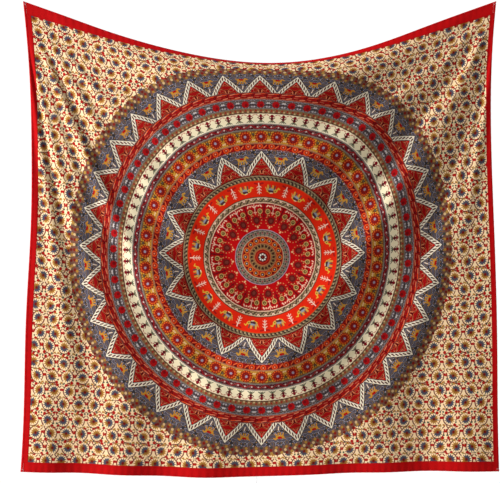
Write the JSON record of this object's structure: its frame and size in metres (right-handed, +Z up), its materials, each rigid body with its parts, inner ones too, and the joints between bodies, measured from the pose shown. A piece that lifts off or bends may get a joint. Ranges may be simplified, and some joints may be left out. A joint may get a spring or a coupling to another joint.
{
  "type": "tapestry wall hanging",
  "caption": "Printed cotton wall hanging with a round floral mandala on a flowered cream ground and red hemmed borders, hung by its two top corners with a sagging top edge.",
  "frame": {"origin": "on the wall, midway between the two top corners that the cloth hangs from", "axes": "+Z up, -Y out from the wall towards the viewer, +X to the viewer's right along the line between the two top corners"},
  "size_m": [2.245, 0.1107, 2.265],
  "materials": {
    "printed_cotton": "plain-woven cotton, screen printed with a mandala in red, ochre, maroon and blue-grey on cream",
    "red_border": "plain-woven red cotton",
    "red_thread": "dark red cotton sewing thread",
    "grey_thread": "undyed grey cotton thread"
  },
  "bodies": {
    "root": {"printed_panel": "printed_cotton", "left_border": "red_border", "left_hem": "red_border", "left_hem_stitching": "red_thread", "left_seam_stitching": "red_thread", "right_border": "red_border", "right_hem": "red_border", "right_hem_stitching": "red_thread", "right_seam_stitching": "red_thread", "top_border": "red_border", "top_hem": "red_border", "top_hem_stitching": "red_thread", "top_seam_stitching": "red_thread", "bottom_border": "red_border", "bottom_hem": "red_border", "bottom_hem_stitching": "red_thread", "bottom_seam_stitching": "red_thread", "top_left_corner": "red_border", "top_right_corner": "red_border", "bottom_left_corner": "red_border", "bottom_right_corner": "red_border", "loose_thread": "grey_thread"}
  },
  "joints": []
}
